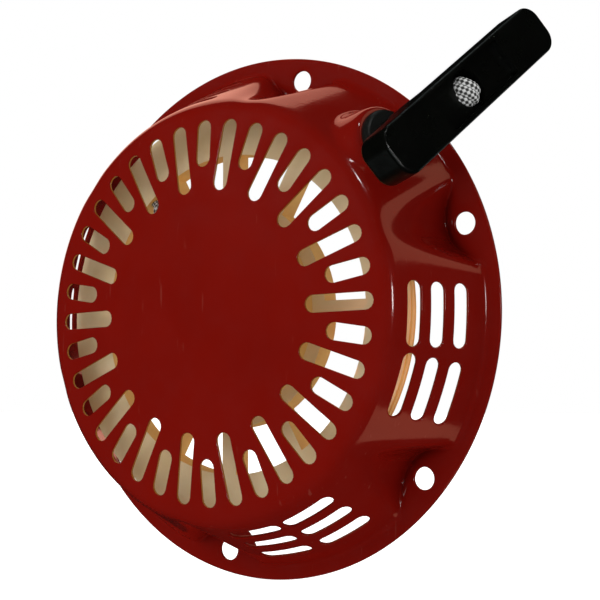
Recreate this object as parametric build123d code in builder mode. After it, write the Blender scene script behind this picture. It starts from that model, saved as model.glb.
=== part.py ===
"""Recoil starter for a small horizontal-shaft engine, built as an assembly of separate pieces.

Frame: the origin is the centre of the flange's mounting face. +Y points back, towards the engine, so the
pressed cover's face looks towards -Y. +X is to the right and +Z is up. Lengths are in millimetres.
A "front height" is a distance in front of the mounting face, along -Y.
"""
from build123d import *
import os
from math import acos, atan2, cos, degrees, hypot, radians, sin

os.makedirs("parts", exist_ok=True)

# ---------------------------------------------------------------- driving dimensions
# pressed cover
SHEET = 1.4                  # sheet thickness
FLANGE_R = 113.0
BOLT_R = 103.25              # bolt circle
BOLT_HOLE_R = 4.6
BOLTS = 6
BOLT_ANGLE = 79.1            # first bolt hole, from +X towards +Z
CROWN = 46.6                 # front height of the face's centre
SHOULDER = (83.5, 42.15)     # face's outer edge: radius, front height
SHOULDER_NORMAL = 83.9       # surface normal there, from radial towards the front
FACE_MIDDLE = (41.75, 45.49)  # a point of the domed face, halfway out
WAIST = (88.65, 38.54)       # where the shoulder's curve meets the straight wall
WALL_NORMAL = 26.0
FOOT = (106.47, 2.0)         # wall foot, between the bolt holes
DENT_AXIS_R = 109.5          # bolt dents are cones: axis radius at the flange, lean inwards, radii, length
DENT_LEAN = 16.4
DENT_RADII = (17.0, 6.5)
DENT_LENGTH = 46.0
DENT_START = 4.0             # each cone starts this far behind the flange

# face slots and side vents
SLOT_PAIRS = 18
LONG_SLOT_ANGLE = 81.1
SLOT_OUTER_R = 79.9
LONG_SLOT_INNER_R = 50.2
SHORT_SLOT_INNER_R = 60.2
SLOT_W = 6.9
EXIT_PANEL_ANGLE = 49.1      # the panel between two bolts that holds the rope exit has no vents
VENT_COLUMN = 8.75           # each panel has two columns, this far either side of its middle
VENT_ROWS = ((92.0, 31.9), (96.75, 22.1), (101.6, 12.2))  # radius, front height
VENT_SIZE = (25.5, 6.2)

# rope exit and handle
EXIT_R = 100.3               # boss face's centre: radius, angle, front height
EXIT_ANGLE = 41.06
EXIT_HEIGHT = 23.8
PULL_ANGLE = 13.5            # direction of pull, from +X towards +Z
PULL_TILT = 22.5             # and tilted towards the front
BOSS_R = 16.5
BOSS_LENGTH = 20.0
SEAM_ANGLE = 60.0            # the revolved form's seam lies here, away from every opening
FERRULE_R = 12.4
FERRULE_BARREL_R = 8.5
FERRULE_BORE_R = 5.0
FERRULE_LIP = 3.5
FERRULE_TAIL = 7.0
HANDLE_REACH = 46.5          # bar's centre, from the boss face along the pull
HANDLE_ROLL = 32.6           # roll of the bar about the rope
BAR = (104.0, 19.5, 15.0)    # length, width, thickness
BAR_CORNER_R = 6.5
CHANNEL = (-21.5, 24.0, 2.6)  # recess in the bar's outer face: from, to, depth
POCKET_R = 7.2
POCKET_FLOOR = -8.5
STEM_RADII = (9.3, 7.2)
ROPE_R = 2.25
KNOT_R = 6.0
KNOT_HEIGHT = -1.4           # knot's centre, from the bar's centre
CHANNEL_WALL = 2.0
BEND_DEPTH = 3.6             # where the rope turns, behind the boss face
BEND_REACH = 8.75            # the bend's tangent length
RUN_START = 29.5             # free rope starts this far along the tangent, clear of the winding

# reel
REEL_R = 87.5                # front cheek
REAR_CHEEK_R = 85.2
RIM_FRONT = 27.1
RIM_BACK = 18.5
CHEEK = 1.5                  # side walls of the rope groove
GROOVE_R = 70.0
RIM_R = 67.2
HUB_R = 48.0
SPOKE_ANGLES = (0, 60, 90, 120, 180, 240, 270, 300)
SPOKE_W = 7.0
DRUM_R = 42.0                # spring drum
DRUM_WALL = 2.5
DRUM_FRONT = 40.5
SPRING_FLOOR = (24.5, 27.1)
TUBE_R = 13.0                # bearing tube
DECK = (10.0, 13.0, 34.0)    # ratchet deck: rear and front heights, radius
RIBS = 6
KNOT_ANGLE = 131.0           # the rope's end is knotted inside the rim
WINDING = (70.3, 83.2)       # radii of the wound rope

# post, spring and ratchet mechanism
RUNNING_FIT = 0.05           # radial clearance of a turning fit
GAP = 0.3                    # clearance of other faces that move past each other
POST_R = 9.0
POST_BACK = 8.5
ARBOR_R = 12.0
ARBOR = (28.0, 41.4)
POST_FOOT_R = 19.0
BOLT_SHANK_R = 3.0
COLLAR_R = 6.0
SPRING = (28.6, 39.0)        # front heights of the spring strip's edges
SPRING_T = 0.7
SPRING_START_R = 13.4
SPRING_STEP = 1.3            # radius gained every half turn
SPRING_HALF_TURNS = 19
RATCHET_PIVOT_R = 24.0
RATCHET_POST_R = 3.0
RATCHET = (1.6, 8.0)         # front heights of a ratchet's faces
RATCHET_TIP = (19.5, -20.0)
RATCHET_PIN = (21.5, -11.0)
RATCHET_PIN_R = 1.5
GUIDE = (-1.8, 0.2)
GUIDE_R = 28.0
GUIDE_SLOT_W = 4.8
WIRE_R = 0.45

# ---------------------------------------------------------------- planes and helpers
FRONT = Plane(origin=(0, 0, 0), x_dir=(1, 0, 0), z_dir=(0, -1, 0))     # local z is the front height
PROFILE = Plane(origin=(0, 0, 0), x_dir=(1, 0, 0), z_dir=(0, 0, -1))   # local x is radius, y front height
UP = (Align.CENTER, Align.CENTER, Align.MIN)
DOWN = (Align.CENTER, Align.CENTER, Align.MAX)


def radial(angle):
    """Unit vector outwards at an angle from +X towards +Z."""
    return Vector(cos(radians(angle)), 0, sin(radians(angle)))


def at(radius, angle, height):
    """The point at a radius, an angle and a front height."""
    return radial(angle) * radius + Vector(0, -height, 0)


def inset(point, normal, depth):
    """A profile point moved into the sheet, against its surface normal."""
    return (point[0] - depth * cos(radians(normal)), point[1] - depth * sin(radians(normal)))


def tangent_of(normal):
    """Direction along the profile, outwards and down, for a surface normal."""
    return (sin(radians(normal)), -cos(radians(normal)))


def save(builder, name):
    """Labels a finished piece and writes it."""
    builder.part.label = name
    export_step(builder.part, f"parts/{name}.step")


def ring(inner, outer, low, high):
    """A flat ring about the main axis, between two front heights."""
    with BuildPart(FRONT.offset(low)) as made:
        Cylinder(outer, high - low, align=UP)
        Cylinder(inner, high - low, align=UP, mode=Mode.SUBTRACT)
    return made


exit_point = at(EXIT_R, EXIT_ANGLE, EXIT_HEIGHT)
pull = radial(PULL_ANGLE) * cos(radians(PULL_TILT)) + Vector(0, -sin(radians(PULL_TILT)), 0)
back_across = (Vector(0, 1, 0) - pull * pull.Y).normalized()
EXIT = Plane(origin=exit_point, x_dir=back_across, z_dir=pull)
bar_direction = back_across.rotate(Axis((0, 0, 0), pull), HANDLE_ROLL)
HANDLE = Plane(origin=exit_point + pull * HANDLE_REACH, x_dir=bar_direction, z_dir=pull)
bolt_angles = [BOLT_ANGLE + 360 / BOLTS * i for i in range(BOLTS)]
vent_panels = [EXIT_PANEL_ANGLE + 360 / BOLTS * i for i in range(1, BOLTS)]


# ---------------------------------------------------------------- pressed cover
def cover_form(depth):
    """The cover's filled form with its skin moved inwards by depth: dished body, bolt dents, rope boss."""
    shoulder = inset(SHOULDER, SHOULDER_NORMAL, depth)
    waist = inset(WAIST, WALL_NORMAL, depth)
    foot = (FOOT[0] - depth / cos(radians(WALL_NORMAL)), FOOT[1])
    crown = (0, CROWN - depth)
    base = -1.0 if depth else 0.0
    with BuildPart() as form:
        with BuildSketch(Plane(origin=(0, 0, 0), x_dir=radial(SEAM_ANGLE), z_dir=radial(SEAM_ANGLE - 90))):
            with BuildLine():
                ThreePointArc(crown, (FACE_MIDDLE[0], FACE_MIDDLE[1] - depth), shoulder)
                TangentArc(shoulder, waist, tangent=tangent_of(SHOULDER_NORMAL))
                Polyline(waist, foot, (foot[0], base), (0, base), crown)
            make_face()
        revolve(axis=Axis.Y)
        dents = []
        for angle in bolt_angles:
            axis = Vector(0, -cos(radians(DENT_LEAN)), 0) - radial(angle) * sin(radians(DENT_LEAN))
            start = at(DENT_AXIS_R, angle, 0) - axis * DENT_START
            dents.append(Plane(origin=start, x_dir=Vector(0, 1, 0).cross(radial(angle)), z_dir=axis).location)
        widening = (DENT_RADII[0] - DENT_RADII[1]) / DENT_LENGTH * DENT_START
        with Locations(*dents):
            Cone(DENT_RADII[0] + depth + widening, DENT_RADII[1] + depth, DENT_LENGTH + DENT_START,
                 align=UP, mode=Mode.SUBTRACT)
        with Locations(EXIT.offset(-depth).location):
            Cylinder(BOSS_R - depth, BOSS_LENGTH - depth, align=DOWN)
            Cylinder(FERRULE_R + GAP + depth, 20, align=UP, mode=Mode.SUBTRACT)
    return form


outer_form = cover_form(0)
inner_form = cover_form(SHEET)
with BuildPart() as starter_case:
    add(outer_form.part)
    with Locations(FRONT.location):
        Cylinder(FLANGE_R, SHEET, align=UP)
    add(inner_form.part, mode=Mode.SUBTRACT)
    # bolt holes and the ferrule's hole
    with BuildSketch(FRONT.offset(-1)):
        with PolarLocations(BOLT_R, BOLTS, start_angle=BOLT_ANGLE):
            Circle(BOLT_HOLE_R)
    extrude(amount=4, mode=Mode.SUBTRACT)
    with Locations(EXIT.offset(-4).location):
        Cylinder(FERRULE_BARREL_R + RUNNING_FIT, 8, align=UP, mode=Mode.SUBTRACT)
    # radial slots in the face, long and short in turn
    for inner_r, first in ((LONG_SLOT_INNER_R, LONG_SLOT_ANGLE), (SHORT_SLOT_INNER_R, LONG_SLOT_ANGLE + 10)):
        with BuildSketch(FRONT.offset(30)):
            with PolarLocations((SLOT_OUTER_R + inner_r) / 2, SLOT_PAIRS, start_angle=first):
                SlotOverall(SLOT_OUTER_R - inner_r, SLOT_W)
        extrude(amount=20, mode=Mode.SUBTRACT)
    # vents through the wall, square to it
    for panel in vent_panels:
        for angle in (panel - VENT_COLUMN, panel + VENT_COLUMN):
            out = radial(angle) * cos(radians(WALL_NORMAL)) + Vector(0, -sin(radians(WALL_NORMAL)), 0)
            across = Vector(0, 1, 0).cross(radial(angle))
            for radius, height in VENT_ROWS:
                with BuildSketch(Plane(origin=at(radius, angle, height) - out * 6, x_dir=across, z_dir=out)):
                    SlotOverall(*VENT_SIZE)
    extrude(amount=12, mode=Mode.SUBTRACT)
save(starter_case, "starter_case")

# ---------------------------------------------------------------- rope guide in the cover's boss
with BuildPart() as rope_ferrule:
    with Locations(EXIT.location):
        Cylinder(FERRULE_R, FERRULE_LIP, align=UP)
        Cylinder(FERRULE_BARREL_R, FERRULE_TAIL, align=DOWN)
        Cylinder(FERRULE_BORE_R, FERRULE_LIP, align=UP, mode=Mode.SUBTRACT)
        Cylinder(FERRULE_BORE_R, FERRULE_TAIL, align=DOWN, mode=Mode.SUBTRACT)
    lip = rope_ferrule.faces().sort_by(Axis(exit_point, pull))[-1]
    fillet(lip.edges(), 2.4)
    tail = rope_ferrule.faces().sort_by(Axis(exit_point, pull))[0]
    fillet(tail.inner_wires()[0].edges(), 1.8)
save(rope_ferrule, "rope_ferrule")

with BuildPart() as ferrule_clip:
    with Locations(EXIT.offset(-SHEET).location):
        Cylinder(FERRULE_BARREL_R + 4, 1.2, align=DOWN)
        Cylinder(FERRULE_BARREL_R, 1.2, align=DOWN, mode=Mode.SUBTRACT)
save(ferrule_clip, "ferrule_clip")

# ---------------------------------------------------------------- centre post, welded inside the face
post_top = CROWN - SHEET - 0.4
with BuildPart() as center_post:
    with BuildSketch(PROFILE):
        with BuildLine():
            Polyline((0, POST_BACK), (POST_R, POST_BACK), (POST_R, ARBOR[0]), (ARBOR_R, ARBOR[0]),
                     (ARBOR_R, ARBOR[1] - 0.6), (POST_FOOT_R, ARBOR[1] - 0.6), (POST_FOOT_R, post_top),
                     (0, post_top), (0, POST_BACK))
        make_face()
    revolve(axis=Axis.Y)
    with Locations(FRONT.offset(POST_BACK).location):
        Cylinder(BOLT_SHANK_R + RUNNING_FIT, 20, align=UP, mode=Mode.SUBTRACT)
    # slot that holds the spring's inner end
    with Locations(FRONT.offset(ARBOR[0]).location * Location((ARBOR_R, 0, 0))):
        Box(5, 2.0, 11.6, align=UP, mode=Mode.SUBTRACT)
    arbor_edge = center_post.edges().filter_by(GeomType.CIRCLE).sort_by(Axis.Y)[-1]
    chamfer(arbor_edge, 0.6)
save(center_post, "center_post")

# ---------------------------------------------------------------- recoil spring, a spiral of flat strip
with BuildPart() as recoil_spring:
    with BuildSketch(FRONT.offset(SPRING[0])):
        with BuildLine() as coil:
            Line((ARBOR_R - 1.8, 0), (SPRING_START_R, 0))
            for i in range(SPRING_HALF_TURNS):
                radius = SPRING_START_R + SPRING_STEP * i
                center = (0, 0) if i % 2 == 0 else (SPRING_STEP, 0)
                CenterArc(center, radius, 180 * (i % 2), 180)
        trace(line_width=SPRING_T)
    extrude(amount=SPRING[1] - SPRING[0])
save(recoil_spring, "recoil_spring")

# ---------------------------------------------------------------- reel
with BuildPart() as reel:
    with BuildSketch(PROFILE):
        with BuildLine():
            Polyline((RIM_R, RIM_BACK), (REAR_CHEEK_R, RIM_BACK), (REAR_CHEEK_R, RIM_BACK + CHEEK),
                     (GROOVE_R, RIM_BACK + CHEEK), (GROOVE_R, RIM_FRONT - CHEEK), (REEL_R, RIM_FRONT - CHEEK),
                     (REEL_R, RIM_FRONT), (RIM_R, RIM_FRONT), (RIM_R, RIM_BACK))
        make_face()
        bore = POST_R + RUNNING_FIT
        with BuildLine():
            Polyline((bore, DECK[0]), (DECK[2], DECK[0]), (DECK[2], DECK[1]), (TUBE_R, DECK[1]),
                     (TUBE_R, SPRING_FLOOR[0]), (DRUM_R - DRUM_WALL, SPRING_FLOOR[0]),
                     (DRUM_R - DRUM_WALL, RIM_BACK), (HUB_R, RIM_BACK), (HUB_R, RIM_FRONT),
                     (DRUM_R, RIM_FRONT), (DRUM_R, DRUM_FRONT), (DRUM_R - DRUM_WALL, DRUM_FRONT),
                     (DRUM_R - DRUM_WALL, SPRING_FLOOR[1]), (bore, SPRING_FLOOR[1]), (bore, DECK[0]))
        make_face()
    revolve(axis=Axis.Y)
    spoke_length = RIM_R - HUB_R + 2
    for angle in SPOKE_ANGLES:
        place = Plane(origin=at((RIM_R + HUB_R) / 2, angle, RIM_BACK), x_dir=radial(angle), z_dir=(0, -1, 0))
        with Locations(place.location):
            Box(spoke_length, SPOKE_W, RIM_FRONT - RIM_BACK, align=UP)
    for i in range(RIBS):
        angle = 360 / RIBS * i + 30
        length = DRUM_R - DRUM_WALL - TUBE_R + 1
        place = Plane(origin=at(TUBE_R + length / 2 - 0.5, angle, DECK[1] - 1), x_dir=radial(angle), z_dir=(0, -1, 0))
        with Locations(place.location):
            Box(length, 2.4, SPRING_FLOOR[0] - DECK[1] + 2, align=UP)
    with Locations(*[Plane(origin=at(RATCHET_PIVOT_R, a, RATCHET[0] - 0.4), x_dir=radial(a),
                           z_dir=(0, -1, 0)).location for a in (0, 180)]):
        Cylinder(RATCHET_POST_R, DECK[1] - RATCHET[0], align=UP)
    # hole through the rim for the rope's end, and the slot that holds the spring's outer end
    middle = (RIM_FRONT + RIM_BACK) / 2
    with Locations(Plane(origin=at(RIM_R - 2, KNOT_ANGLE, middle), z_dir=radial(KNOT_ANGLE)).location):
        Cylinder(ROPE_R + 0.25, GROOVE_R - RIM_R + 4, align=UP, mode=Mode.SUBTRACT)
    rims = reel.edges().filter_by(GeomType.CIRCLE).group_by(SortBy.RADIUS)
    fillet(rims[-1] + rims[-2], 0.5)
save(reel, "reel")

# ---------------------------------------------------------------- rope
with BuildPart() as rope_winding:
    with BuildSketch(PROFILE):
        with Locations(((WINDING[0] + WINDING[1]) / 2, middle)):
            RectangleRounded(WINDING[1] - WINDING[0], 2 * ROPE_R + 0.6, 2.0)
    revolve(axis=Axis.Y)
save(rope_winding, "rope_winding")

with BuildPart() as reel_knot:
    with Locations(at(RIM_R - 5.4, KNOT_ANGLE, middle)):
        Sphere(4.6)
    with Locations(Plane(origin=at(RIM_R - 5.4, KNOT_ANGLE, middle), z_dir=radial(KNOT_ANGLE)).location):
        Cylinder(ROPE_R, WINDING[0] - RIM_R + 5.2, align=UP)
save(reel_knot, "reel_knot")

# the rope leaves the winding along its tangent and turns into the ferrule
bend_at = exit_point - pull * BEND_DEPTH
wrap_r = WINDING[1] - ROPE_R + 0.2
leave_angle = degrees(atan2(bend_at.Z, bend_at.X) + acos(wrap_r / hypot(bend_at.X, bend_at.Z)))
leave_point = at(wrap_r, leave_angle, middle)
run_direction = (bend_at - leave_point).normalized()
bend_start = bend_at - run_direction * BEND_REACH
bend_end = bend_at + pull * BEND_REACH
run_start = leave_point + run_direction * RUN_START
with BuildPart() as rope_run:
    with BuildLine() as run_path:
        Line(run_start, bend_start)
        TangentArc(bend_start, bend_end, tangent=run_direction)
    with BuildSketch(Plane(origin=run_start, z_dir=run_direction)):
        Circle(ROPE_R)
    sweep(path=run_path.wires()[0])
save(rope_run, "rope_run")

lead_start = BEND_REACH - BEND_DEPTH + GAP
knot_low = HANDLE_REACH + KNOT_HEIGHT - KNOT_R
with BuildPart() as rope_lead:
    with Locations(EXIT.offset(lead_start).location):
        Cylinder(ROPE_R, knot_low - lead_start, align=UP)
save(rope_lead, "rope_lead")

with BuildPart() as handle_knot:
    with Locations(HANDLE.offset(KNOT_HEIGHT).location):
        Sphere(KNOT_R)
        Cylinder(ROPE_R, KNOT_R, align=DOWN, mode=Mode.SUBTRACT)
save(handle_knot, "handle_knot")

# ---------------------------------------------------------------- handle
with BuildPart() as handle_grip:
    with BuildSketch(HANDLE.offset(-BAR[2] / 2)):
        RectangleRounded(BAR[0], BAR[1], BAR_CORNER_R)
    extrude(amount=BAR[2])
    fillet(handle_grip.faces().sort_by(Axis(exit_point, pull))[-1].edges(), 1.4)
    fillet(handle_grip.faces().sort_by(Axis(exit_point, pull))[0].edges(), 2.2)
    with BuildSketch(HANDLE.offset(BAR[2] / 2 - CHANNEL[2])):
        with Locations(((CHANNEL[0] + CHANNEL[1]) / 2, 0)):
            RectangleRounded(CHANNEL[1] - CHANNEL[0], BAR[1] - 2 * CHANNEL_WALL, 1.5)
    extrude(amount=CHANNEL[2] + 1, mode=Mode.SUBTRACT)
    stem_length = HANDLE_REACH - BAR[2] / 2 - FERRULE_LIP - 0.5
    with Locations(HANDLE.offset(-BAR[2] / 2 + 0.5).location * Location((0, 0, 0), (180, 0, 0))):
        Cone(STEM_RADII[0], STEM_RADII[1], stem_length + 0.5, align=UP)
    with Locations(HANDLE.offset(POCKET_FLOOR).location):
        Cylinder(POCKET_R, BAR[2] / 2 - POCKET_FLOOR, align=UP, mode=Mode.SUBTRACT)
        Cylinder(ROPE_R + GAP, HANDLE_REACH, align=DOWN, mode=Mode.SUBTRACT)
save(handle_grip, "handle_grip")

with BuildPart() as knot_seat:
    with Locations(HANDLE.offset(POCKET_FLOOR).location):
        Cylinder(POCKET_R - RUNNING_FIT, 1.0, align=UP)
        Cylinder(ROPE_R + GAP, 1.0, align=UP, mode=Mode.SUBTRACT)
save(knot_seat, "knot_seat")

# ---------------------------------------------------------------- ratchets and what drives them
with BuildPart() as ratchet_a:
    with BuildSketch(FRONT.offset(RATCHET[0])):
        with Locations((RATCHET_PIVOT_R, 0)):
            Circle(6)
        with Locations(RATCHET_TIP):
            Circle(2.2)
        make_hull()
        with Locations((RATCHET_PIVOT_R, 0)):
            Circle(RATCHET_POST_R + RUNNING_FIT, mode=Mode.SUBTRACT)
    extrude(amount=RATCHET[1] - RATCHET[0])
    with Locations(FRONT.offset(RATCHET[0] + 0.5).location * Location((RATCHET_PIN[0], RATCHET_PIN[1], 0))):
        Cylinder(RATCHET_PIN_R, RATCHET[0] + 0.5 - GUIDE[0] - 0.4, align=DOWN)
save(ratchet_a, "ratchet_a")

with BuildPart() as ratchet_b:
    add(ratchet_a.part, rotation=(0, 180, 0))
save(ratchet_b, "ratchet_b")

# light wire spring round each ratchet's post, one leg on the ratchet and one on the deck
with BuildPart() as ratchet_spring_a:
    with BuildSketch(FRONT.offset(RATCHET[1] + GAP)):
        with Locations((RATCHET_PIVOT_R, 0)):
            Circle(RATCHET_POST_R + 1.0 + 2 * WIRE_R)
            Circle(RATCHET_POST_R + 1.0, mode=Mode.SUBTRACT)
        with Locations((RATCHET_PIVOT_R + RATCHET_POST_R + 1.0 + WIRE_R, -4.5)):
            Rectangle(2 * WIRE_R, 9)
        with Locations((RATCHET_PIVOT_R - 4.5, RATCHET_POST_R + 1.0 + WIRE_R)):
            Rectangle(9, 2 * WIRE_R)
    extrude(amount=3 * WIRE_R)
save(ratchet_spring_a, "ratchet_spring_a")

with BuildPart() as ratchet_spring_b:
    add(ratchet_spring_a.part, rotation=(0, 180, 0))
save(ratchet_spring_b, "ratchet_spring_b")

# the guide is dragged by friction; its slots lead the ratchets' pins out and in
with BuildPart() as ratchet_guide:
    with BuildSketch(FRONT.offset(GUIDE[0])):
        Circle(GUIDE_R)
        Circle(COLLAR_R + RUNNING_FIT, mode=Mode.SUBTRACT)
        for side in (1, -1):
            with Locations((side * RATCHET_PIN[0], side * RATCHET_PIN[1])):
                Circle(GUIDE_SLOT_W / 2, mode=Mode.SUBTRACT)
            with Locations((side * RATCHET_PIN[0], side * (RATCHET_PIN[1] - GUIDE_R / 2))):
                Rectangle(GUIDE_SLOT_W, GUIDE_R, mode=Mode.SUBTRACT)
    extrude(amount=GUIDE[1] - GUIDE[0])
save(ratchet_guide, "ratchet_guide")

friction_low = GUIDE[1] + WIRE_R + 0.1
friction_high = POST_BACK - 1.4 - WIRE_R - 0.1
with BuildPart() as friction_spring:
    with BuildLine():
        coil = Helix((friction_high - friction_low) / 3, friction_high - friction_low, COLLAR_R + 2.4,
                     center=(0, -friction_low, 0), direction=(0, -1, 0))
    with BuildSketch(Plane(origin=coil @ 0, z_dir=coil % 0)):
        Circle(WIRE_R)
    sweep(is_frenet=True)
save(friction_spring, "friction_spring")

save(ring(BOLT_SHANK_R + 0.1, COLLAR_R, GUIDE[0] - 0.2, POST_BACK - 1.4), "guide_collar")
save(ring(BOLT_SHANK_R + 0.1, ARBOR_R, POST_BACK - 1.4, POST_BACK), "thrust_washer")
save(ring(BOLT_SHANK_R + 0.1, POST_R, GUIDE[0] - 1.4, GUIDE[0] - 0.2), "bolt_washer")

head_face = GUIDE[0] - 1.4
with BuildPart() as center_bolt:
    with BuildSketch(FRONT.offset(head_face)):
        RegularPolygon(5.0, 6, major_radius=False)
    extrude(amount=-4)
    chamfer(center_bolt.faces().sort_by(Axis.Y)[-1].edges(), 0.5)
    with Locations(FRONT.offset(head_face).location):
        Cylinder(BOLT_SHANK_R, POST_BACK + 18 - head_face, align=UP)
save(center_bolt, "center_bolt")
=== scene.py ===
"""Looks of the recoil starter: pressed painted cover, nylon reel, braided rope, T-handle and steel parts."""

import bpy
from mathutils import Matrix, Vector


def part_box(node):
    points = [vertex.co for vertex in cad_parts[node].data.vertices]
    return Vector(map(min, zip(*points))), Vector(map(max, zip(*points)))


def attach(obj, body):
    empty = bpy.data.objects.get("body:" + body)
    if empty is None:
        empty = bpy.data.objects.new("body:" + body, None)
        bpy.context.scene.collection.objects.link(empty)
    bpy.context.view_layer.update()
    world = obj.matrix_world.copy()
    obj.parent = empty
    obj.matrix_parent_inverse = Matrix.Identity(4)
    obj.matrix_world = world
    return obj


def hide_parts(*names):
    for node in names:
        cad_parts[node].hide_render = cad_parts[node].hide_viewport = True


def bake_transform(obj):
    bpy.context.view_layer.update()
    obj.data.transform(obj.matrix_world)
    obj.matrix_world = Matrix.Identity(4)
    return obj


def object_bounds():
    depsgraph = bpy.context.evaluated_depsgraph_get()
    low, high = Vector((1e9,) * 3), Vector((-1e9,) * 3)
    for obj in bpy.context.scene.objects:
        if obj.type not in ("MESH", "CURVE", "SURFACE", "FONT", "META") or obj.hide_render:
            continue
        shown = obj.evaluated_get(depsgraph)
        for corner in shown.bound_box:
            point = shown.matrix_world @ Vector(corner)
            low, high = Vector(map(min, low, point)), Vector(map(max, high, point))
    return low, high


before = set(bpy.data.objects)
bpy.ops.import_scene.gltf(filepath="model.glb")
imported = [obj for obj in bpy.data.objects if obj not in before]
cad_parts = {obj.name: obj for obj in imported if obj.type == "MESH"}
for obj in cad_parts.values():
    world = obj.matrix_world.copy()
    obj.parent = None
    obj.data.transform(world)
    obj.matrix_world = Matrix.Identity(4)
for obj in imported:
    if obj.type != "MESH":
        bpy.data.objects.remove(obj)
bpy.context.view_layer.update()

from math import atan2, cos, hypot, pi, radians, sin

import bpy
import numpy as np
from mathutils import Matrix, Vector
from mathutils.geometry import delaunay_2d_cdt

MM = 0.001

# ---------------------------------------------------------------- the object's facts, in millimetres
SHEET = 1.4
BOLT_R = 103.25
BOLT_HOLE_R = 4.6
BOLT_ANGLES = [79.1 + 60 * i for i in range(6)]
VENT_PANELS = [49.1 + 60 * i for i in range(1, 6)]    # between the bolts, all but the rope's side
VENT_COLUMN = 8.75           # degrees from a panel's middle
VENT_ROWS = ((92.0, 31.9), (96.75, 22.1), (101.6, 12.2))    # radius, front height
VENT_SIZE = (25.5, 6.2)
SLOT_OUTER_R = 79.9
SLOT_W = 6.9
SLOTS_IN_ROW = 18
LONG_SLOTS = (50.2, 81.1)    # inner radius, angle of the first
SHORT_SLOTS = (60.2, 91.1)
FLANGE_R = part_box("starter_case")[1].x / MM
PULL_ANGLE, PULL_TILT = radians(13.5), radians(22.5)
CROWN = 46.6
SHOULDER, SHOULDER_NORMAL = (83.5, 42.15), 83.9
FACE_MIDDLE = (41.75, 45.49)
WAIST, WALL_NORMAL = (88.65, 38.54), 26.0
FOOT = (106.47, 2.0)
SHOULDER_R = 6.5
DENT_AXIS_R, DENT_LEAN = 109.5, radians(16.4)
DENT_RADII, DENT_LENGTH = (17.0, 6.5), 46.0
EXIT_R, EXIT_ANGLE, EXIT_HEIGHT = 100.3, 41.06, 23.8
BOSS_R = 16.5
SEAT_R = 12.7
FERRULE_HOLE_R = 8.55
HANDLE_REACH = 46.5
HANDLE_ROLL = radians(32.6)
KNOT_HEIGHT, KNOT_R = -1.4, 6.0


def radial(angle):
    """Unit vector outwards, angle in degrees from +X towards +Z."""
    return np.array([cos(radians(angle)), 0.0, sin(radians(angle))])


def unit(vector):
    """The vector at length 1."""
    vector = np.asarray(vector, float)
    return vector / np.linalg.norm(vector)


PULL = np.array([cos(PULL_ANGLE) * cos(PULL_TILT), -sin(PULL_TILT), sin(PULL_ANGLE) * cos(PULL_TILT)])
EXIT = radial(EXIT_ANGLE) * EXIT_R + np.array([0, -EXIT_HEIGHT, 0])
BACK_ACROSS = unit(np.array([0, 1, 0]) - PULL * PULL[1])
BAR = BACK_ACROSS * cos(HANDLE_ROLL) + np.cross(PULL, BACK_ACROSS) * sin(HANDLE_ROLL)
WIDE = np.cross(PULL, BAR)
HANDLE = EXIT + PULL * HANDLE_REACH
FRONT = np.array([0.0, -1.0, 0.0])


# ---------------------------------------------------------------- material helpers
def material(name, **shader):
    """A new Principled material with its node tree and shader node; values go on the shader's own sockets."""
    made = bpy.data.materials.new(name)
    made.use_nodes = True
    tree = made.node_tree
    bsdf = tree.nodes["Principled BSDF"]
    for key, value in shader.items():
        socket = bsdf.inputs[key.replace("_", " ").title().replace("Ior", "IOR")]
        socket.default_value = (*value, 1.0) if isinstance(value, tuple) else value
    return made, tree, bsdf


def add(tree, kind, links=(), **values):
    """Adds a node, sets its properties and inputs, and links it: links is ((input, node, output), ...)."""
    made = tree.nodes.new(kind)
    for key, value in values.items():
        if hasattr(made, key):
            setattr(made, key, value)
        else:
            made.inputs[key.replace("_", " ")].default_value = value
    for name, source, output in links:
        tree.links.new(source.outputs[output], made.inputs[name])
    return made


def noise(tree, scale, detail=3.0, rough=0.55, stretch=None):
    """Noise in object space, one unit a metre. stretch scales its axes."""
    where = add(tree, "ShaderNodeTexCoord")
    source, out = where, "Object"
    if stretch:
        source, out = add(tree, "ShaderNodeMapping", [("Vector", where, "Object")], Scale=stretch), "Vector"
    links = [("Vector", source, out)]
    return add(tree, "ShaderNodeTexNoise", links, Scale=scale, Detail=detail, Roughness=rough)


def ramp(tree, source, output, stops):
    """A colour ramp of (position, colour or grey) stops."""
    made = add(tree, "ShaderNodeValToRGB", [("Fac", source, output)])
    band = made.color_ramp
    while len(band.elements) < len(stops):
        band.elements.new(0.5)
    for element, (place, colour) in zip(band.elements, stops):
        element.position = place
        element.color = (*colour, 1.0) if isinstance(colour, tuple) else (colour, colour, colour, 1.0)
    return made


def bump(tree, bsdf, source, output, strength, distance):
    """Relief from a node's output, its distance in metres."""
    made = add(tree, "ShaderNodeBump", [("Height", source, output)], Strength=strength, Distance=distance)
    tree.links.new(made.outputs["Normal"], bsdf.inputs["Normal"])
    return made


def mixed(tree, share, first, second):
    """A colour between two, each a node and its output or a plain colour. share is a node and its output."""
    made = add(tree, "ShaderNodeMix", data_type="RGBA")
    for socket, source in ((0, share), (6, first), (7, second)):
        if len(source) == 2:
            tree.links.new(source[0].outputs[source[1]], made.inputs[socket])
        else:
            made.inputs[socket].default_value = (*source, 1.0)
    return made


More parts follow.
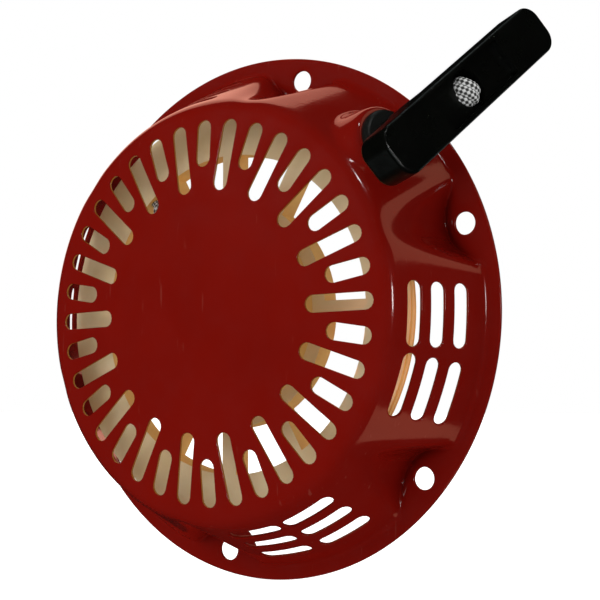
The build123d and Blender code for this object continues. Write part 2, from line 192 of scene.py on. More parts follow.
def painted_red():
    """Glossy baked paint: slight orange peel, faint hue changes, fine scratches, bare golden slot walls."""
    made, tree, bsdf = material("red_paint", roughness=0.16, coat_weight=0.25, coat_roughness=0.04)
    colour = ramp(tree, noise(tree, 28.0, 4.0), "Fac", [(0.3, RED_DARK), (0.7, RED_LIGHT)])
    streaks = noise(tree, 420.0, 2.0, stretch=(1.0, 1.0, 0.12))
    marks = ramp(tree, streaks, "Fac", [(0.69, 0.0), (0.78, 0.8)])
    rubbed = mixed(tree, (marks, "Color"), (colour, "Color"), RED_RUBBED)
    cut = add(tree, "ShaderNodeAttribute", attribute_name="cut")
    edged = mixed(tree, (cut, "Fac"), (rubbed, 2), CUT_EDGE)
    tree.links.new(edged.outputs[2], bsdf.inputs["Base Color"])
    rough = ramp(tree, noise(tree, 90.0, 5.0), "Fac", [(0.3, 0.08), (0.75, 0.16)])
    tree.links.new(rough.outputs["Color"], bsdf.inputs["Roughness"])
    bump(tree, bsdf, noise(tree, 420.0, 1.0), "Fac", 0.10, 0.00025)
    return made


def moulded(name, dark, light, low, high, grain=1400.0, depth=0.00012, **shader):
    """Moulded plastic: two close tones, uneven gloss and a fine grain."""
    made, tree, bsdf = material(name, **shader)
    colour = ramp(tree, noise(tree, 60.0, 4.0), "Fac", [(0.3, dark), (0.7, light)])
    tree.links.new(colour.outputs["Color"], bsdf.inputs["Base Color"])
    rough = ramp(tree, noise(tree, 130.0, 4.0), "Fac", [(0.3, low), (0.7, high)])
    tree.links.new(rough.outputs["Color"], bsdf.inputs["Roughness"])
    bump(tree, bsdf, noise(tree, grain, 2.0), "Fac", 0.35, depth)
    return made


def natural_nylon():
    """Uncoloured nylon, tan. Surfaces that face sideways, the thin edges, get a painted golden tone for light
    shining through the thin nylon, and the nylon has a little light of its own, a painted glow for what
    shines through it."""
    made, tree, bsdf = material("natural_nylon", subsurface_weight=0.10, subsurface_scale=0.004)
    clouds = noise(tree, 60.0, 4.0)
    faces = ramp(tree, clouds, "Fac", [(0.3, (0.84, 0.66, 0.38)), (0.7, (0.94, 0.80, 0.54))])
    # painted light: golden tone on the sideways-facing thin edges, for light shining through the nylon
    edges = ramp(tree, clouds, "Fac", [(0.3, (0.72, 0.36, 0.07)), (0.7, (0.90, 0.55, 0.14))])
    where = add(tree, "ShaderNodeNewGeometry")
    parts = add(tree, "ShaderNodeSeparateXYZ", [("Vector", where, "Normal")])
    level = add(tree, "ShaderNodeMath", [(0, parts, "Y")], operation="ABSOLUTE")
    share = ramp(tree, level, "Value", [(0.45, 0.0), (0.85, 1.0)])
    colour = mixed(tree, (share, "Color"), (edges, "Color"), (faces, "Color"))
    tree.links.new(colour.outputs[2], bsdf.inputs["Base Color"])
    rough = ramp(tree, noise(tree, 130.0, 4.0), "Fac", [(0.3, 0.32), (0.7, 0.50)])
    tree.links.new(rough.outputs["Color"], bsdf.inputs["Roughness"])
    # painted glow: emission standing in for light that shines through the nylon
    bsdf.inputs["Emission Color"].default_value = (1.0, 0.70, 0.26, 1.0)
    bsdf.inputs["Emission Strength"].default_value = 0.07
    bump(tree, bsdf, noise(tree, 700.0, 2.0), "Fac", 0.35, 0.00012)
    return made


def steel(name, dark, light, low, high, stretch=(1.0, 1.0, 1.0)):
    """Bright or plated steel: mottled tone, uneven gloss, fine marks."""
    made, tree, bsdf = material(name, metallic=1.0)
    colour = ramp(tree, noise(tree, 150.0, 5.0, stretch=stretch), "Fac", [(0.3, dark), (0.7, light)])
    tree.links.new(colour.outputs["Color"], bsdf.inputs["Base Color"])
    rough = ramp(tree, noise(tree, 400.0, 4.0, stretch=stretch), "Fac", [(0.3, low), (0.7, high)])
    tree.links.new(rough.outputs["Color"], bsdf.inputs["Roughness"])
    bump(tree, bsdf, noise(tree, 1600.0, 3.0, stretch=stretch), "Fac", 0.25, 0.0001)
    return made


RED_DARK = (0.185, 0.0042, 0.0018)
RED_LIGHT = (0.205, 0.0050, 0.0022)
RED_RUBBED = (0.24, 0.03, 0.02)
CUT_EDGE = (0.42, 0.17, 0.025)
red_paint = painted_red()
black_handle = moulded("black_handle", (0.0014, 0.0019, 0.0011), (0.0026, 0.0031, 0.0019), 0.24, 0.38,
                       specular_ior_level=0.45)
black_guide = moulded("black_guide", (0.006, 0.007, 0.006), (0.011, 0.012, 0.010), 0.28, 0.42)
nylon = natural_nylon()
bright_steel = steel("bright_steel", (0.42, 0.42, 0.43), (0.58, 0.58, 0.59), 0.22, 0.38)
zinc = steel("yellow_zinc", (0.46, 0.40, 0.24), (0.62, 0.57, 0.40), 0.25, 0.42)
spring_steel = steel("spring_steel", (0.09, 0.10, 0.13), (0.17, 0.18, 0.22), 0.22, 0.36, (1.0, 6.0, 1.0))
dark_steel = steel("dark_steel", (0.14, 0.135, 0.13), (0.24, 0.235, 0.23), 0.35, 0.55)


# ---------------------------------------------------------------- mesh helpers
def mesh_object(name, points, faces, body, paint, normals=None):
    """A mesh object from points in millimetres, riding on a body."""
    mesh = bpy.data.meshes.new(name)
    mesh.from_pydata((np.asarray(points) * MM).tolist(), [], faces)
    mesh.update()
    mesh.materials.append(paint)
    mesh.polygons.foreach_set("use_smooth", [True] * len(mesh.polygons))
    if normals is not None:
        mesh.normals_split_custom_set_from_vertices(np.asarray(normals).tolist())
    made = bpy.data.objects.new(name, mesh)
    bpy.context.collection.objects.link(made)
    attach(made, body)
    return made


# ---------------------------------------------------------------- pressed cover
THETAS = 1440                # columns of the skin's grid, round the axis
STEP = 0.5                   # its rows' spacing along the profile
FLANGE_ROWS = 23
DENT_SOFTNESS = 5.0
DENT_REACH = 26              # degrees on each side of a bolt
DENT_FROM = 60.0             # profile length where a dent may start
DENT_PASSES = 40
DENT_BLUR = (2.5, 5.0)       # rows and columns of the grid
CORNER_BLUR = (1.7 / STEP, 3.2)
CROWN_KEPT, RIM_KEPT = 10, 3.0    # profile lengths at both ends that keep their shape
SEAT_MARGIN = 1.2
BOSS_FROM, BOSS_RISE = 40, 20    # only skin farther out than this belongs to the boss, lifted less than this
BOSS_ANGLES, BOSS_START = (20, 62), 85    # degrees and profile length within which its seat lies
RING_R, RING_DEPTH, RING_WIDTH = 46.5, 0.25, 0.8    # faint ring pressed into the face


def arc(centre, radius, start, end, step=STEP):
    """Points and normals on an arc of the profile, from one normal angle to another."""
    count = max(2, round(abs(radians(end - start)) * radius / step))
    angle = np.radians(np.linspace(start, end, count, endpoint=False))
    normal = np.stack([np.cos(angle), np.sin(angle)], 1)
    return np.asarray(centre) + radius * normal, normal


def profile():
    """The cover's outer profile as (radius, front height) and normals, evenly spaced from crown to foot."""
    # the face is the circle through the crown, the middle and the shoulder
    known = np.array([FACE_MIDDLE, SHOULDER])
    rows = 2 * np.stack([known[:, 0], known[:, 1] - CROWN], 1)
    centre = np.linalg.solve(rows, (known**2).sum(1) - CROWN**2)
    radius = hypot(centre[0], CROWN - centre[1])
    start = np.degrees(atan2(CROWN - centre[1], -centre[0]))
    end = np.degrees(atan2(SHOULDER[1] - centre[1], SHOULDER[0] - centre[0]))
    face = arc(centre, radius, start, end)
    angle = radians(WALL_NORMAL)
    turn = np.array(WAIST) - SHOULDER_R * np.array([cos(angle), sin(angle)])
    shoulder = arc(turn, SHOULDER_R, SHOULDER_NORMAL, WALL_NORMAL)
    count = round(hypot(FOOT[0] - WAIST[0], FOOT[1] - WAIST[1]) / STEP)
    share = np.linspace(0, 1, count + 1)[:, None]
    wall = np.array(WAIST) * (1 - share) + np.array(FOOT) * share
    level = np.tile([cos(angle), sin(angle)], (count + 1, 1))
    return np.concatenate([face[0], shoulder[0], wall]), np.concatenate([face[1], shoulder[1], level])


def cone_distance(points, angle):
    """Signed distance from points to a bolt dent's cone, negative inside it."""
    axis = np.array([0, -cos(DENT_LEAN), 0]) - radial(angle) * sin(DENT_LEAN)
    along = (points - radial(angle) * DENT_AXIS_R) @ axis
    beside = np.linalg.norm(points - radial(angle) * DENT_AXIS_R - along[..., None] * axis, axis=-1)
    slope = (DENT_RADII[0] - DENT_RADII[1]) / DENT_LENGTH
    side = (beside - (DENT_RADII[0] - slope * along)) / hypot(1, slope)
    return np.maximum(side, along - DENT_LENGTH)


def gaussian(values, sigma, axis, wrap):
    """Smooths along an axis by a Gaussian of sigma samples."""
    reach = int(3 * sigma) + 1
    kernel = np.exp(-0.5 * (np.arange(-reach, reach + 1) / sigma) ** 2)
    kernel /= kernel.sum()
    pad = [(0, 0)] * values.ndim
    pad[axis] = (reach, reach)
    padding = {"mode": "wrap"} if wrap else {"mode": "reflect", "reflect_type": "odd"}
    wide = np.pad(values, pad, **padding)
    size = values.shape[axis]
    return sum(weight * np.take(wide, np.arange(i, i + size), axis=axis) for i, weight in enumerate(kernel))


def press_dents(points, normals, angle):
    """Presses the bolt dents in along the skin's own normals, with soft edges."""
    rows = slice(int(DENT_FROM / STEP), None)
    for bolt in BOLT_ANGLES:
        near = np.abs((np.degrees(angle) - bolt + 180) % 360 - 180) < DENT_REACH
        part, outwards = points[rows][:, near], normals[rows][:, near]
        push = np.zeros(part.shape[:2])
        for _ in range(DENT_PASSES):
            push -= np.minimum(cone_distance(part - outwards * push[..., None], bolt), 0)
        push = np.where(push > 0, push, -np.maximum(cone_distance(part, bolt), 0))
        edge = np.maximum(DENT_SOFTNESS - np.abs(push), 0) ** 2 / (4 * DENT_SOFTNESS)
        depth = np.zeros(points.shape[:2])
        depth[rows, near] = np.maximum(push, 0) + edge
        depth = gaussian(gaussian(depth, DENT_BLUR[0], 0, False), DENT_BLUR[1], 1, True)
        points = points - normals * depth[..., None]
    return points


def add_flange(points, out):
    """Adds the flat flange, from the wall's foot to the rim."""
    foot = np.hypot(points[-1, :, 0], points[-1, :, 2])
    across = np.linspace(0, 1, FLANGE_ROWS + 1)[1:, None]
    reach = foot + (FLANGE_R - foot) * across
    return np.concatenate([points, reach[..., None] * out + SHEET * FRONT])


def draw_boss(points):
    """Draws the rope boss out to a flat seat square to the pull."""
    beside = points - EXIT
    rise = -(beside @ PULL)
    off = np.linalg.norm(beside + rise[..., None] * PULL, axis=-1)
    lift = np.where(off < SEAT_R + SEAT_MARGIN, rise, np.where(off < BOSS_R, np.maximum(rise, 0), 0))
    lift = np.where((points @ radial(EXIT_ANGLE) > BOSS_FROM) & (rise < BOSS_RISE), lift, 0)
    return points + lift[..., None] * PULL


def soften(points):
    """Rounds every corner, but leaves the crown's middle and the rim as they are."""
    smooth = gaussian(gaussian(points, CORNER_BLUR[0], 0, False), CORNER_BLUR[1], 1, True)
    rows = np.arange(len(points)) * STEP
    share = np.clip((rows - CROWN_KEPT) / 10, 0, 1)
    share *= np.clip((len(points) * STEP - RIM_KEPT - rows) / 2, 0, 1)
    return points + (smooth - points) * share[:, None, None]


def skin_normals(points):
    """Unit normals of the grid, pointing outwards."""
    along = np.gradient(points, axis=0)
    wide = np.concatenate([points[:, -1:], points, points[:, :1]], 1)
    around = (wide[:, 2:] - wide[:, :-2]) / 2
    normal = np.cross(along, around)
    normal[0] = FRONT
    normal /= np.linalg.norm(normal, axis=-1, keepdims=True)
    if normal[len(normal) // 4, 0, 1] > 0:
        normal = -normal
    normal[0] = FRONT
    return normal


def cover_grid():
    """The outer skin as a grid of points over profile length and angle, its normals and the foot's row."""
    base, flat = profile()
    angle = np.linspace(0, 2 * pi, THETAS, endpoint=False)
    out = np.stack([np.cos(angle), np.zeros(THETAS), np.sin(angle)], 1)
    points = base[:, None, :1] * out + base[:, None, 1:] * FRONT
    normals = flat[:, None, :1] * out + flat[:, None, 1:] * FRONT
    points = soften(draw_boss(add_flange(press_dents(points, normals, angle), out)))
    ring = np.hypot(points[..., 0], points[..., 2])
    points[..., 1] += RING_DEPTH / (1 + np.exp((ring - RING_R) / RING_WIDTH))
    return points, skin_normals(points), len(base)


GRID, GRID_NORMALS, FOOT_ROW = cover_grid()
LAST = (len(GRID) - 1) * STEP


def sample(grid, s, theta):
    """Bilinear lookup at profile length s and angle theta."""
    row = np.clip(np.asarray(s) / STEP, 0, len(grid) - 1.001)
    col = (np.asarray(theta) / (2 * pi) * THETAS) % THETAS
    i, j = row.astype(int), col.astype(int)
    u, v = (row - i)[..., None], (col - j)[..., None]
    k = (j + 1) % THETAS
    j = j % THETAS
    left = grid[i, j] * (1 - u) + grid[i + 1, j] * u
    right = grid[i, k] * (1 - u) + grid[i + 1, k] * u
    return left * (1 - v) + right * v


def find(targets, origin, u_dir, v_dir, s, theta):
    """Skin coordinates (s, theta) whose points have these coordinates along two directions from an origin."""
    s, theta = s.copy(), theta.copy()

    def at(a, b):
        q = sample(GRID, a, b) - origin
        return np.stack([q @ u_dir, q @ v_dir], -1)

    # Newton's method, its steps held short
    ds, dt = 0.4, 0.005
    for _ in range(14):
        here = at(s, theta)
        js = (at(s + ds, theta) - at(s - ds, theta)) / (2 * ds)
        jt = (at(s, theta + dt) - at(s, theta - dt)) / (2 * dt)
        miss = targets - here
        det = js[:, 0] * jt[:, 1] - js[:, 1] * jt[:, 0]
        det = np.where(np.abs(det) < 1e-6, 1e-6, det)
        s += np.clip((miss[:, 0] * jt[:, 1] - miss[:, 1] * jt[:, 0]) / det, -3, 3)
        theta += np.clip((js[:, 0] * miss[:, 1] - js[:, 1] * miss[:, 0]) / det, -0.05, 0.05)
        s = np.clip(s, 0.5, LAST)
    return s, theta


def stadium(length, width, grow):
    """Outline of a round-ended slot, grown outwards, along its first axis."""
    half = (length - width) / 2
    radius = width / 2 + grow
    points = []
    for side in (1, -1):
        turn = np.radians(np.linspace(-90, 90, 9)) + (0 if side > 0 else pi)
        points += [(side * half + radius * cos(a), radius * sin(a)) for a in turn]
        steps = max(1, round(2 * half / 2.6))
        points += [(side * half * (1 - 2 * i / steps), side * radius) for i in range(1, steps)]
    return np.array(points)


def circle(radius, grow, count):
    """Outline of a round hole, grown outwards."""
    turn = np.linspace(0, 2 * pi, count, endpoint=False)
    return np.stack([np.cos(turn), np.sin(turn)], 1) * (radius + grow)


# rings round an opening, from its edge outwards: (growth, drop below the skin, tilt of the normal)
ROUND = 0.45
RINGS = [(ROUND * (1 - cos(radians(a))), ROUND * (1 - sin(radians(a))), radians(a)) for a in (0, 30, 60, 90)]
RINGS.append((1.1, 0.0, radians(90)))
RING_CLEARANCE = 0.45
RIM_POINTS = 720


def ring_set(shape, origin, u_dir, v_dir, guess):
    """An opening's rings of (s, theta), from its edge outwards. guess gives an outline's first try."""
    rings = []
    for grow, _, _ in RINGS:
        flat = shape(grow)
        rings.append(find(flat, origin, u_dir, v_dir, *guess(flat)))
    return rings


def slot_rings():
    """The face's radial slots: the long row, then the short row between them."""
    face_rows = np.hypot(GRID[:, 0, 0], GRID[:, 0, 2])[:int(100 / STEP)]
    made = []
    for inner, first in (LONG_SLOTS, SHORT_SLOTS):
        middle = (SLOT_OUTER_R + inner) / 2
        s = np.interp(middle, face_rows, np.arange(len(face_rows)) * STEP)
        for i in range(SLOTS_IN_ROW):
            angle = first + 360 / SLOTS_IN_ROW * i
            out, side = radial(angle), radial(angle + 90)
            made.append(ring_set(
                lambda grow: stadium(SLOT_OUTER_R - inner, SLOT_W, grow), out * middle, out, side,
                lambda flat: (s + flat[:, 0], radians(angle) + flat[:, 1] / (middle + flat[:, 0]))))
    return made


def vent_rings():
    """The wall's vents: two columns to a panel, one above another."""
    base = profile()[0]
    made = []
    for angle in [panel + side * VENT_COLUMN for panel in VENT_PANELS for side in (-1, 1)]:
        out = radial(angle) * cos(radians(WALL_NORMAL)) + FRONT * sin(radians(WALL_NORMAL))
        side = radial(angle + 90)
        slope = np.cross(side, out)
        down = 1.0 if slope[1] > 0 else -1.0
        for radius, height in VENT_ROWS:
            s = np.argmin(np.hypot(base[:, 0] - radius, base[:, 1] - height)) * STEP
            made.append(ring_set(
                lambda grow: stadium(*VENT_SIZE, grow), radial(angle) * radius + FRONT * height, side, slope,
                lambda flat: (s + down * flat[:, 1], radians(angle) + flat[:, 0] / radius)))
    return made


def bolt_rings():
    """The flange's bolt holes."""
    made = []
    for angle in BOLT_ANGLES:
        out, side = radial(angle), radial(angle + 90)
        column = round(angle / 360 * THETAS) % THETAS
        rows = np.hypot(GRID[FOOT_ROW:, column, 0], GRID[FOOT_ROW:, column, 2])
        s = (FOOT_ROW + np.interp(BOLT_R, rows, np.arange(len(rows)))) * STEP
        rate = STEP / (rows[12] - rows[11])
        made.append(ring_set(
            lambda grow: circle(BOLT_HOLE_R, grow, 36), out * BOLT_R, out, side,
            lambda flat: (s + flat[:, 0] * rate, radians(angle) + flat[:, 1] / BOLT_R)))
    return made


def guide_rings():
    """The guide's hole, found on the boss seat from the nearest grid points."""
    u_dir, v_dir = BACK_ACROSS, np.cross(PULL, BACK_ACROSS)
    columns = np.arange(*(int(angle / 360 * THETAS) for angle in BOSS_ANGLES))
    rows = np.arange(int(BOSS_START / STEP), FOOT_ROW)
    local = GRID[rows][:, columns] - EXIT
    local_uv = np.stack([local @ u_dir, local @ v_dir], -1)

    def nearest(flat):
        picked = [np.argmin(np.abs(local_uv - f).sum(-1)) for f in flat]
        i, j = np.unravel_index(picked, local_uv.shape[:2])
        return rows[i] * STEP, columns[j] / THETAS * 2 * pi

    return ring_set(lambda grow: circle(FERRULE_HOLE_R, grow, 40), EXIT, u_dir, v_dir, nearest)


def flat_place(s, theta):
    """Skin coordinates laid out flat, the profile length as the radius."""
    return np.stack([s * np.cos(theta), s * np.sin(theta)], -1)


def inside(points, loop):
    """Which 2-D points lie inside a closed loop."""
    hit = np.zeros(len(points), bool)
    for (x0, y0), (x1, y1) in zip(loop, np.roll(loop, -1, 0)):
        crosses = (y0 > points[:, 1]) != (y1 > points[:, 1])
        rise = (y1 - y0) if y1 != y0 else 1e-12
        hit ^= crosses & (points[:, 0] < (x1 - x0) * (points[:, 1] - y0) / rise + x0)
    return hit


def near_loop(points, loop, reach):
    """Which 2-D points lie inside a closed loop or within reach of it."""
    low, high = loop.min(0) - reach, loop.max(0) + reach
    picked = np.where(((points > low) & (points < high)).all(1))[0]
    if not len(picked):
        return picked
    part = points[picked]
    close = np.full(len(part), 1e9)
    for a, b in zip(loop, np.roll(loop, -1, 0)):
        ab = b - a
        t = np.clip(((part - a) @ ab) / max(ab @ ab, 1e-12), 0, 1)
        close = np.minimum(close, np.linalg.norm(part - a - t[:, None] * ab, axis=1))
    return picked[(close < reach) | inside(part, loop)]


def scattered():
    """Skin coordinates of the sheet's points between openings: staggered rows, closer towards the rim."""
    # start and end of a span along the profile, the rows' spacing, and the points in a row
    spans = ((2.5, 50, 2.5, 180), (50, 82, 2.2, 300), (82, 108, 1.3, 540), (108, LAST - 14, 1.2, 720),
             (LAST - 14, LAST - 1.5, 0.75, 720))
    s, theta = [np.zeros(1)], [np.zeros(1)]
    for start, end, step, count in spans:
        for row in np.arange(start, end, step):
            s.append(np.full(count, row))
            theta.append((np.arange(count) + 0.5 * (len(s) % 2)) * 2 * pi / count)
    return np.concatenate(s), np.concatenate(theta)


def rim_rings():
    """The flange's rim as rings of (s, theta), rounded like the openings."""
    row_reach = (FLANGE_R - FOOT[0]) / FLANGE_ROWS
    turn = np.arange(RIM_POINTS) * 2 * pi / RIM_POINTS
    return [(np.full(RIM_POINTS, LAST - grow * STEP / row_reach), turn) for grow, _, _ in RINGS]


def lay_out(holes):
    """Every point's skin coordinates, drop and tilt, the rings' edges, each loop's first point and size."""
    s, theta = scattered()
    flat = flat_place(s, theta)
    keep = np.ones(len(flat), bool)
    for rings in holes:
        keep[near_loop(flat, flat_place(*rings[-1]), RING_CLEARANCE)] = False
    count = int(keep.sum())
    columns = [(s[keep], theta[keep], np.zeros(count), np.full(count, pi / 2))]
    edges, loops = [], []
    for rings in holes + [rim_rings()]:
        size = len(rings[0][0])
        loops.append((count, size))
        for (_, fall, turn), (ring_s, ring_theta) in zip(RINGS, rings):
            columns.append((ring_s, ring_theta, np.full(size, fall), np.full(size, turn)))
            edges += [(count + i, count + (i + 1) % size) for i in range(size)]
            count += size
    return *(np.concatenate(part) for part in zip(*columns)), edges, loops


def triangles(flat, edges, holes):
    """The triangles between flat places, all turned the same way, without what spans an opening."""
    result = delaunay_2d_cdt([Vector(p) for p in flat], edges, [], 0, 1e-5)
    back = np.array([o[0] if o else -1 for o in result[3]])
    faces = np.array([[back[i] for i in f] for f in result[2]])
    faces = faces[(faces >= 0).all(1)]
    middle = flat[faces].mean(1)
    gone = np.zeros(len(faces), bool)
    for rings in holes:
        loop = flat_place(*rings[0])
        low, high = loop.min(0), loop.max(0)
        picked = np.where(((middle > low) & (middle < high)).all(1))[0]
        gone[picked[inside(middle[picked], loop)]] = True
    faces = faces[~gone]
    a, b, c = (flat[faces[:, i]] for i in range(3))
    area = (b - a)[:, 0] * (c - a)[:, 1] - (b - a)[:, 1] * (c - a)[:, 0]
    faces[area < 0] = faces[area < 0][:, ::-1]
    return faces


def build_cover():
    """The whole sheet: outer skin, inner skin and every cut edge rounded over."""
    holes = slot_rings() + vent_rings() + bolt_rings() + [guide_rings()]
    s, theta, drop, tilt, edges, loops = lay_out(holes)
    tri = triangles(flat_place(s, theta), edges, holes)
    skin = sample(GRID, s, theta)
    normal = sample(GRID_NORMALS, s, theta)
    normal /= np.linalg.norm(normal, axis=1, keepdims=True)
    lean = np.zeros_like(skin)
    walls = []
    total = len(s)
    for first, size in loops:
        away = skin[first:first + size] - skin[first + 3 * size:first + 4 * size]
        away /= np.maximum(np.linalg.norm(away, axis=1, keepdims=True), 1e-9)
        lean[first:first + 3 * size] = np.tile(away, (3, 1))
        for i in range(size):
            j = (i + 1) % size
            walls.append([first + i, first + j, total + first + j, total + first + i])
    outer = skin - normal * drop[:, None]
    inner = skin - normal * (SHEET - drop)[:, None]
    outer_normals = normal * np.sin(tilt)[:, None] + lean * np.cos(tilt)[:, None]
    inner_normals = -normal * np.sin(tilt)[:, None] + lean * np.cos(tilt)[:, None]
    facing = np.cross(outer[tri[:, 1]] - outer[tri[:, 0]], outer[tri[:, 2]] - outer[tri[:, 0]])
    if (facing * normal[tri[:, 0]]).sum() < 0:
        tri = tri[:, ::-1]
    faces = tri.tolist() + (tri[:, ::-1] + total).tolist()
    points = np.concatenate([outer, inner])
    normals = np.concatenate([outer_normals, inner_normals])
    for wall in walls:
        p = points[wall]
        facing = np.cross(p[1] - p[0], p[2] - p[0])
        faces.append(wall if facing @ normals[wall[0]] > 0 else wall[::-1])
    made = mesh_object("cover", points, faces, "housing", red_paint, normals)
    cut = np.zeros(2 * total, np.float32)
    for first, size in loops[:2 * SLOTS_IN_ROW]:
        cut[first:first + size] = cut[total + first:total + first + size] = 1.0
    made.data.attributes.new("cut", "FLOAT", "POINT").data.foreach_set("value", cut)
    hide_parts("starter_case")
    return made


cover = build_cover()

# ---------------------------------------------------------------- braided rope and wire
ROPE_R = 2.25
ROPE_HEIGHT = 22.8           # front height of the wound rope
WRAP_R = 81.15               # radius at which the rope leaves the winding
INNER_WRAP_R = 72.55
WINDING_TURNS = 3
FLATTENED = (1.45, 2.7)      # half sizes of the wound rope, pressed flat by its own pull
BEND_DEPTH, BEND_REACH = 3.6, 8.75
LEAD_START = BEND_REACH - BEND_DEPTH + 0.3
KNOT_ANGLE, RIM_R = 131.0, 67.2
REEL_KNOT_DEPTH = 5.4        # reel knot's centre, inside the rim's inner radius
REEL_KNOT_SCALE, REEL_STRAND_R = 0.85, 1.95
HANDLE_KNOT_R, HANDLE_KNOT_TURNS, HANDLE_STRAND_R = 4.2, 3.1, 2.05
TAIL_WAY, TAIL_END = 4.0, 6.9    # how far below the handle's face the knot's strand bends and ends
STRAND_RELIEF = 0.035
LEAD_OVERLAPS = (0.4, 1.2)       # lead's reach into the inner run and into the handle's knot
BRAID_PERIOD = 1.25          # distance along the rope between rows of the braid
BRAID_STRANDS = 8


def maths(tree, operation, a, b=None):
    """A maths node on two values, each a number or a node's first output."""
    made = add(tree, "ShaderNodeMath", operation=operation)
    for socket, value in zip(made.inputs, (a, b)):
        if isinstance(value, float):
            socket.default_value = value
        elif value is not None:
            tree.links.new(value.outputs[0], socket)
    return made


def measured(tree, source, output, axis, offset):
    """A vector's part along an axis, and an offset added to it."""
    dot = add(tree, "ShaderNodeVectorMath", operation="DOT_PRODUCT")
    tree.links.new(source.outputs[output], dot.inputs[0])
    dot.inputs[1].default_value = tuple(float(v) for v in axis)
    moved = add(tree, "ShaderNodeMath", operation="ADD")
    tree.links.new(dot.outputs["Value"], moved.inputs[0])
    moved.inputs[1].default_value = offset
    return moved


def braid(name, anchored):
    """Braided rope: diamond rows of pale strands with painted shade in the gaps between them. An anchored
    braid is laid out along the pull in space, so it isn't drawn out with the rope; the others follow the
    rope's own length."""
    made, tree, bsdf = material(name, roughness=0.55)
    if anchored:
        source, output = add(tree, "ShaderNodeNewGeometry"), "Position"
        axes = [BACK_ACROSS, np.cross(PULL, BACK_ACROSS), PULL]
        shift = [-float(EXIT @ a) * MM for a in axes]
    else:
        source, output = add(tree, "ShaderNodeAttribute", attribute_name="strand"), "Vector"
        axes = np.eye(3)
        shift = [0.0, 0.0, 0.0]
    parts = [measured(tree, source, output, axis, offset) for axis, offset in zip(axes, shift)]
    turn = maths(tree, "MULTIPLY", maths(tree, "ARCTAN2", parts[1], parts[0]), float(BRAID_STRANDS))
    along = maths(tree, "MULTIPLY", parts[2], 2 * pi / (BRAID_PERIOD * MM))
    weave = maths(tree, "SUBTRACT", maths(tree, "COSINE", along), maths(tree, "COSINE", turn))
    height = maths(tree, "MULTIPLY_ADD", weave, 0.25)
    height.inputs[2].default_value = 0.5
    # colour from a random wear tone plus the weave's height: the low gaps between strands come out near
    # black, painted shade
    worn = noise(tree, 900.0, 3.0)
    wear_and_gap_shade = maths(tree, "MULTIPLY_ADD", worn, 0.35)
    tree.links.new(height.outputs[0], wear_and_gap_shade.inputs[2])
    colour = ramp(tree, wear_and_gap_shade, "Value", [(0.50, (0.035, 0.035, 0.032)), (0.66, (0.33, 0.33, 0.32)),
                                         (0.86, (0.86, 0.87, 0.86))])
    tree.links.new(colour.outputs["Color"], bsdf.inputs["Base Color"])
    bump(tree, bsdf, height, "Value", 0.6, 0.0004)
    return made


rope_braid = braid("rope_braid", False)
lead_braid = braid("lead_braid", True)


def tube(name, path, half, around, body, paint, relief=0.0, across=None):
    """A tube along a path in millimetres. half is its half size both ways across; relief raises the braid."""
    path = np.asarray(path, float)
    ahead_of = np.gradient(path, axis=0)
    ahead_of /= np.linalg.norm(ahead_of, axis=1, keepdims=True)
    side = unit(np.cross(ahead_of[0], [0.3, 0.9, 0.2] if across is None else across))
    sides = []
    for direction in ahead_of:
        side = unit(side - direction * (side @ direction))
        if across is not None:
            side = unit(np.cross(direction, across))
        sides.append(side)
    sides = np.array(sides)
    others = np.cross(ahead_of, sides)
    length = np.concatenate([[0], np.cumsum(np.linalg.norm(np.diff(path, axis=0), axis=1))])
    angle = np.linspace(0, 2 * pi, around, endpoint=False)
    swell = 1 + relief * (np.cos(2 * pi * length / BRAID_PERIOD)[:, None] - np.cos(BRAID_STRANDS * angle))
    points = (path[:, None] + sides[:, None] * (half[0] * np.cos(angle) * swell)[..., None]
              + others[:, None] * (half[1] * np.sin(angle) * swell)[..., None])
    rows, quads = len(path), []
    for i in range(rows - 1):
        for j in range(around):
            k = (j + 1) % around
            quads.append([i * around + j, i * around + k, (i + 1) * around + k, (i + 1) * around + j])
    count = rows * around
    quads += [[j, count, (j + 1) % around] for j in range(around)]
    last = (rows - 1) * around
    quads += [[last + j, last + (j + 1) % around, count + 1] for j in range(around)]
    ends = np.stack([path[0] - ahead_of[0] * half[0] * 0.25, path[-1] + ahead_of[-1] * half[0] * 0.25])
    made = mesh_object(name, np.concatenate([points.reshape(-1, 3), ends]), quads, body, paint)
    strand = np.stack([np.tile(np.cos(angle), (rows, 1)), np.tile(np.sin(angle), (rows, 1)),
                       np.repeat(length[:, None], around, 1) * MM], -1).reshape(-1, 3)
    strand = np.concatenate([strand, [[1, 0, 0], [1, 0, length[-1] * MM]]])
    made.data.attributes.new("strand", "FLOAT_VECTOR", "POINT").data.foreach_set("vector", strand.ravel())
    return made


def knot_path(centre, axis, size, tail):
    """A round overhand knot about an axis, then its strand leaving along the axis by tail."""
    axis = unit(axis)
    u = unit(np.cross(axis, [0.2, 0.3, 1.0]))
    v = np.cross(axis, u)
    t = np.linspace(0.35, 2 * pi - 0.25, 190)
    loop = (np.sin(t) + 2 * np.sin(2 * t), np.cos(t) - 2 * np.cos(2 * t), -1.35 * np.sin(3 * t))
    points = centre + size * (loop[0][:, None] * u + loop[1][:, None] * v + loop[2][:, None] * axis)
    reach = np.linspace(0, 1, 50)[1:, None]
    goal = centre + axis * tail
    way = centre + axis * tail * 0.45
    bent = points[-1] * (1 - reach) ** 2 + 2 * reach * (1 - reach) * way + goal * reach**2
    return np.concatenate([points, bent])


